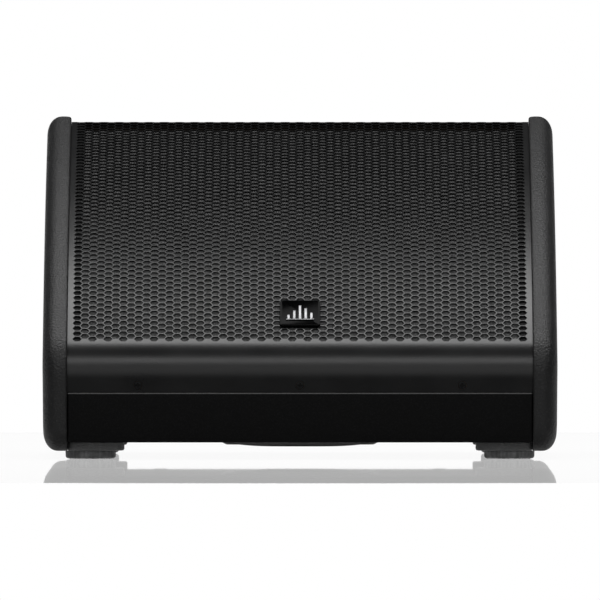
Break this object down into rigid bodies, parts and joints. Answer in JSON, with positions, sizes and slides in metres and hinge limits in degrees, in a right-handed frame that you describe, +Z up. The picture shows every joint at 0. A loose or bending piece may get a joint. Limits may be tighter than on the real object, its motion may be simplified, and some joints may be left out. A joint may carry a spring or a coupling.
{
  "type": "stage monitor wedge",
  "caption": "Floor monitor wedge with a curved perforated screen between moulded end cheeks, over a coaxial driver in a plywood cabinet.",
  "frame": {"origin": "on the floor, under the middle of the object's plan", "axes": "+X to the right seen from the front, +Y to the rear, +Z up"},
  "size_m": [0.5802, 0.5746, 0.3854],
  "materials": {
    "textured_paint": "coarse spatter-textured black paint on plywood, matt",
    "cheek_moulding": "pebble-grained dark grey moulded skin, satin",
    "foot_moulding": "fine-grained dark grey moulding, matt",
    "screen_paint": "satin black powder coat on perforated steel",
    "foot_rubber": "dark grey moulded rubber, matt",
    "black_foam": "open-cell black foam, matt",
    "gloss_black": "gloss black",
    "silver_mark": "brushed silver",
    "black_fastener": "black oxide, semi-matt",
    "plywood": "bare birch plywood",
    "black_casting": "fine black powder coat",
    "ferrite": "dark ceramic, matt",
    "plated_steel": "zinc plated",
    "cone_paper": "black pressed paper pulp",
    "spider_cloth": "resin-treated cloth",
    "black_plastic": "fine-grained black",
    "circuit_board": "green solder mask",
    "copper_winding": "enamelled copper wire",
    "film_capacitor": "yellow film wrap"
  },
  "bodies": {
    "cabinet": {"badge_mark": "silver_mark", "badge_plate": "gloss_black", "base_bolt_left": "black_fastener", "base_bolt_right": "black_fastener", "base_panel": "textured_paint", "bass_capacitor": "film_capacitor", "bass_inductor": "copper_winding", "compression_driver": "black_casting", "cone_surround": "foot_rubber", "crossover_board": "circuit_board", "driver_baffle": "plywood", "driver_basket": "black_casting", "driver_bolt_1": "black_fastener", "driver_bolt_2": "black_fastener", "driver_bolt_3": "black_fastener", "driver_bolt_4": "black_fastener", "end_cheek_left": "cheek_moulding", "end_cheek_right": "cheek_moulding", "foot_block_front_left": "foot_moulding", "foot_block_front_right": "foot_moulding", "foot_block_rear_left": "foot_moulding", "foot_block_rear_right": "foot_moulding", "foot_pad_front_left": "foot_rubber", "foot_pad_front_right": "foot_rubber", "foot_pad_rear_left": "foot_rubber", "foot_pad_rear_right": "foot_rubber", "front_panel": "textured_paint", "handle_grip": "cheek_moulding", "handle_tray": "cheek_moulding", "horn_flare": "black_plastic", "lower_rail": "plywood", "magnet_ring": "ferrite", "mode_switch": "black_plastic", "pole_plate": "plated_steel", "rear_panel": "textured_paint", "screen": "screen_paint", "screen_foam": "black_foam", "screen_screw_centre": "black_fastener", "screen_screw_left": "black_fastener", "screen_screw_right": "black_fastener", "side_panel_left": "textured_paint", "side_panel_right": "textured_paint", "socket_dish": "cheek_moulding", "socket_input": "black_plastic", "socket_link": "black_plastic", "socket_plate": "screen_paint", "spider": "spider_cloth", "top_plate": "plated_steel", "top_rail": "plywood", "treble_capacitor": "film_capacitor", "treble_inductor": "copper_winding", "vent_tube_left": "black_plastic", "vent_tube_right": "black_plastic"},
    "cone_assembly": {"cone": "cone_paper", "voice_coil": "copper_winding"},
    "mode_selector": {"mode_knob": "black_plastic"}
  },
  "joints": [
    {"name": "cone_travel", "type": "slide", "parent": "cabinet", "child": "cone_assembly", "axis": [0, -0.4329, 0.9015], "range_m": [-0.006, 0.006], "stiffness_N_per_m": 3000, "deforming": ["cone_surround", "spider"]},
    {"name": "mode_turn", "type": "hinge", "parent": "cabinet", "child": "mode_selector", "pos_m": [0, 0.24097, 0.15], "axis": [0, 1, 0], "range_deg": [0, 90]}
  ]
}
